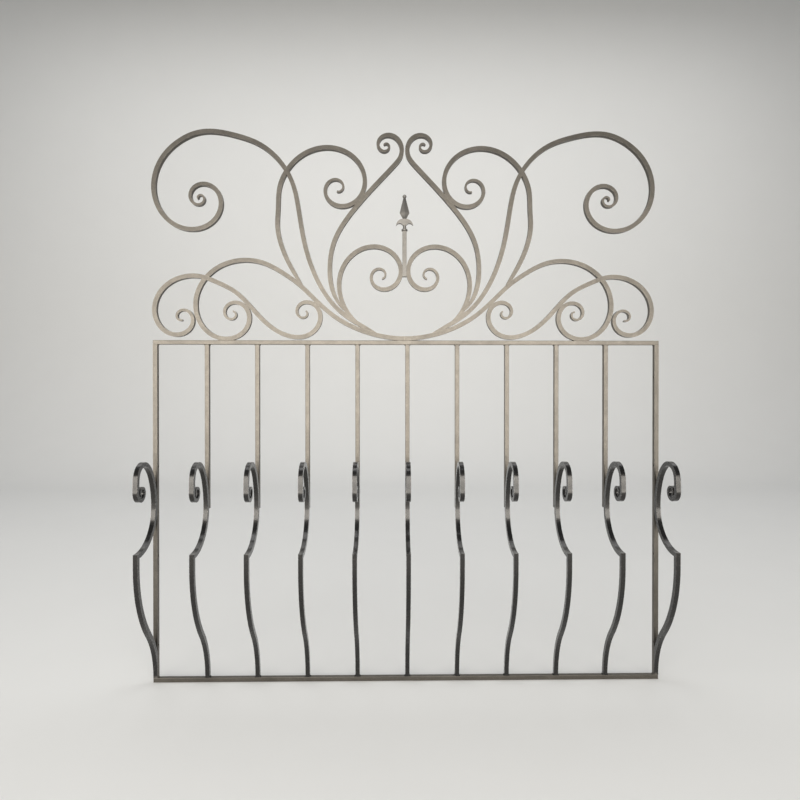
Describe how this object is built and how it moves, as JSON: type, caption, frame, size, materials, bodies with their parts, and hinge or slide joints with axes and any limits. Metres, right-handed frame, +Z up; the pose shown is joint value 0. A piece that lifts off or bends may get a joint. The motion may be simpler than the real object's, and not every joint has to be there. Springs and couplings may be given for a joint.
{
  "type": "window security bar",
  "caption": "Window security grille of square steel bar with a bulging lower belly of scrolled bars and a scrolled crest with a spear finial on its top rail.",
  "frame": {"origin": "middle of the bottom rail's underside, midway across its depth, where the grille stands on the sill", "axes": "+X across the window to the right as seen from the room, -Y towards the room, +Z up"},
  "size_m": [1.4239, 0.1336, 1.5461],
  "materials": {
    "frame_steel": "dark pewter satin lacquer over hot-rolled square bar, rubbed lighter on the front faces",
    "belly_steel": "black satin lacquer over hot-rolled square bar, glossier on the bends",
    "crest_steel": "dark pewter satin lacquer over forged square bar, with light hammer marks",
    "spear_iron": "cast spear, dark pewter lacquer, slightly grainy"
  },
  "bodies": {
    "root": {"bottom_rail": "frame_steel", "top_rail": "frame_steel", "left_stile": "frame_steel", "right_stile": "frame_steel", "upright_1": "frame_steel", "upright_2": "frame_steel", "upright_3": "frame_steel", "upright_4": "frame_steel", "upright_5": "frame_steel", "upright_6": "frame_steel", "upright_7": "frame_steel", "upright_8": "frame_steel", "upright_9": "frame_steel", "belly_foot_01": "belly_steel", "belly_foot_02": "belly_steel", "belly_foot_03": "belly_steel", "belly_foot_04": "belly_steel", "belly_foot_05": "belly_steel", "belly_foot_06": "belly_steel", "belly_foot_07": "belly_steel", "belly_foot_08": "belly_steel", "belly_foot_09": "belly_steel", "belly_foot_10": "belly_steel", "belly_foot_11": "belly_steel", "belly_scroll_01": "belly_steel", "belly_scroll_02": "belly_steel", "belly_scroll_03": "belly_steel", "belly_scroll_04": "belly_steel", "belly_scroll_05": "belly_steel", "belly_scroll_06": "belly_steel", "belly_scroll_07": "belly_steel", "belly_scroll_08": "belly_steel", "belly_scroll_09": "belly_steel", "belly_scroll_10": "belly_steel", "belly_scroll_11": "belly_steel", "left_base_scroll": "crest_steel", "left_corner_scroll": "crest_steel", "left_crown_scroll": "crest_steel", "left_shoulder_scroll": "crest_steel", "left_inner_scroll": "crest_steel", "left_heart_scroll": "crest_steel", "right_base_scroll": "crest_steel", "right_corner_scroll": "crest_steel", "right_crown_scroll": "crest_steel", "right_shoulder_scroll": "crest_steel", "right_inner_scroll": "crest_steel", "right_heart_scroll": "crest_steel", "spear_stem": "spear_iron", "spear_collar": "spear_iron", "spear_leaves": "spear_iron", "spear_head": "spear_iron"}
  },
  "joints": []
}
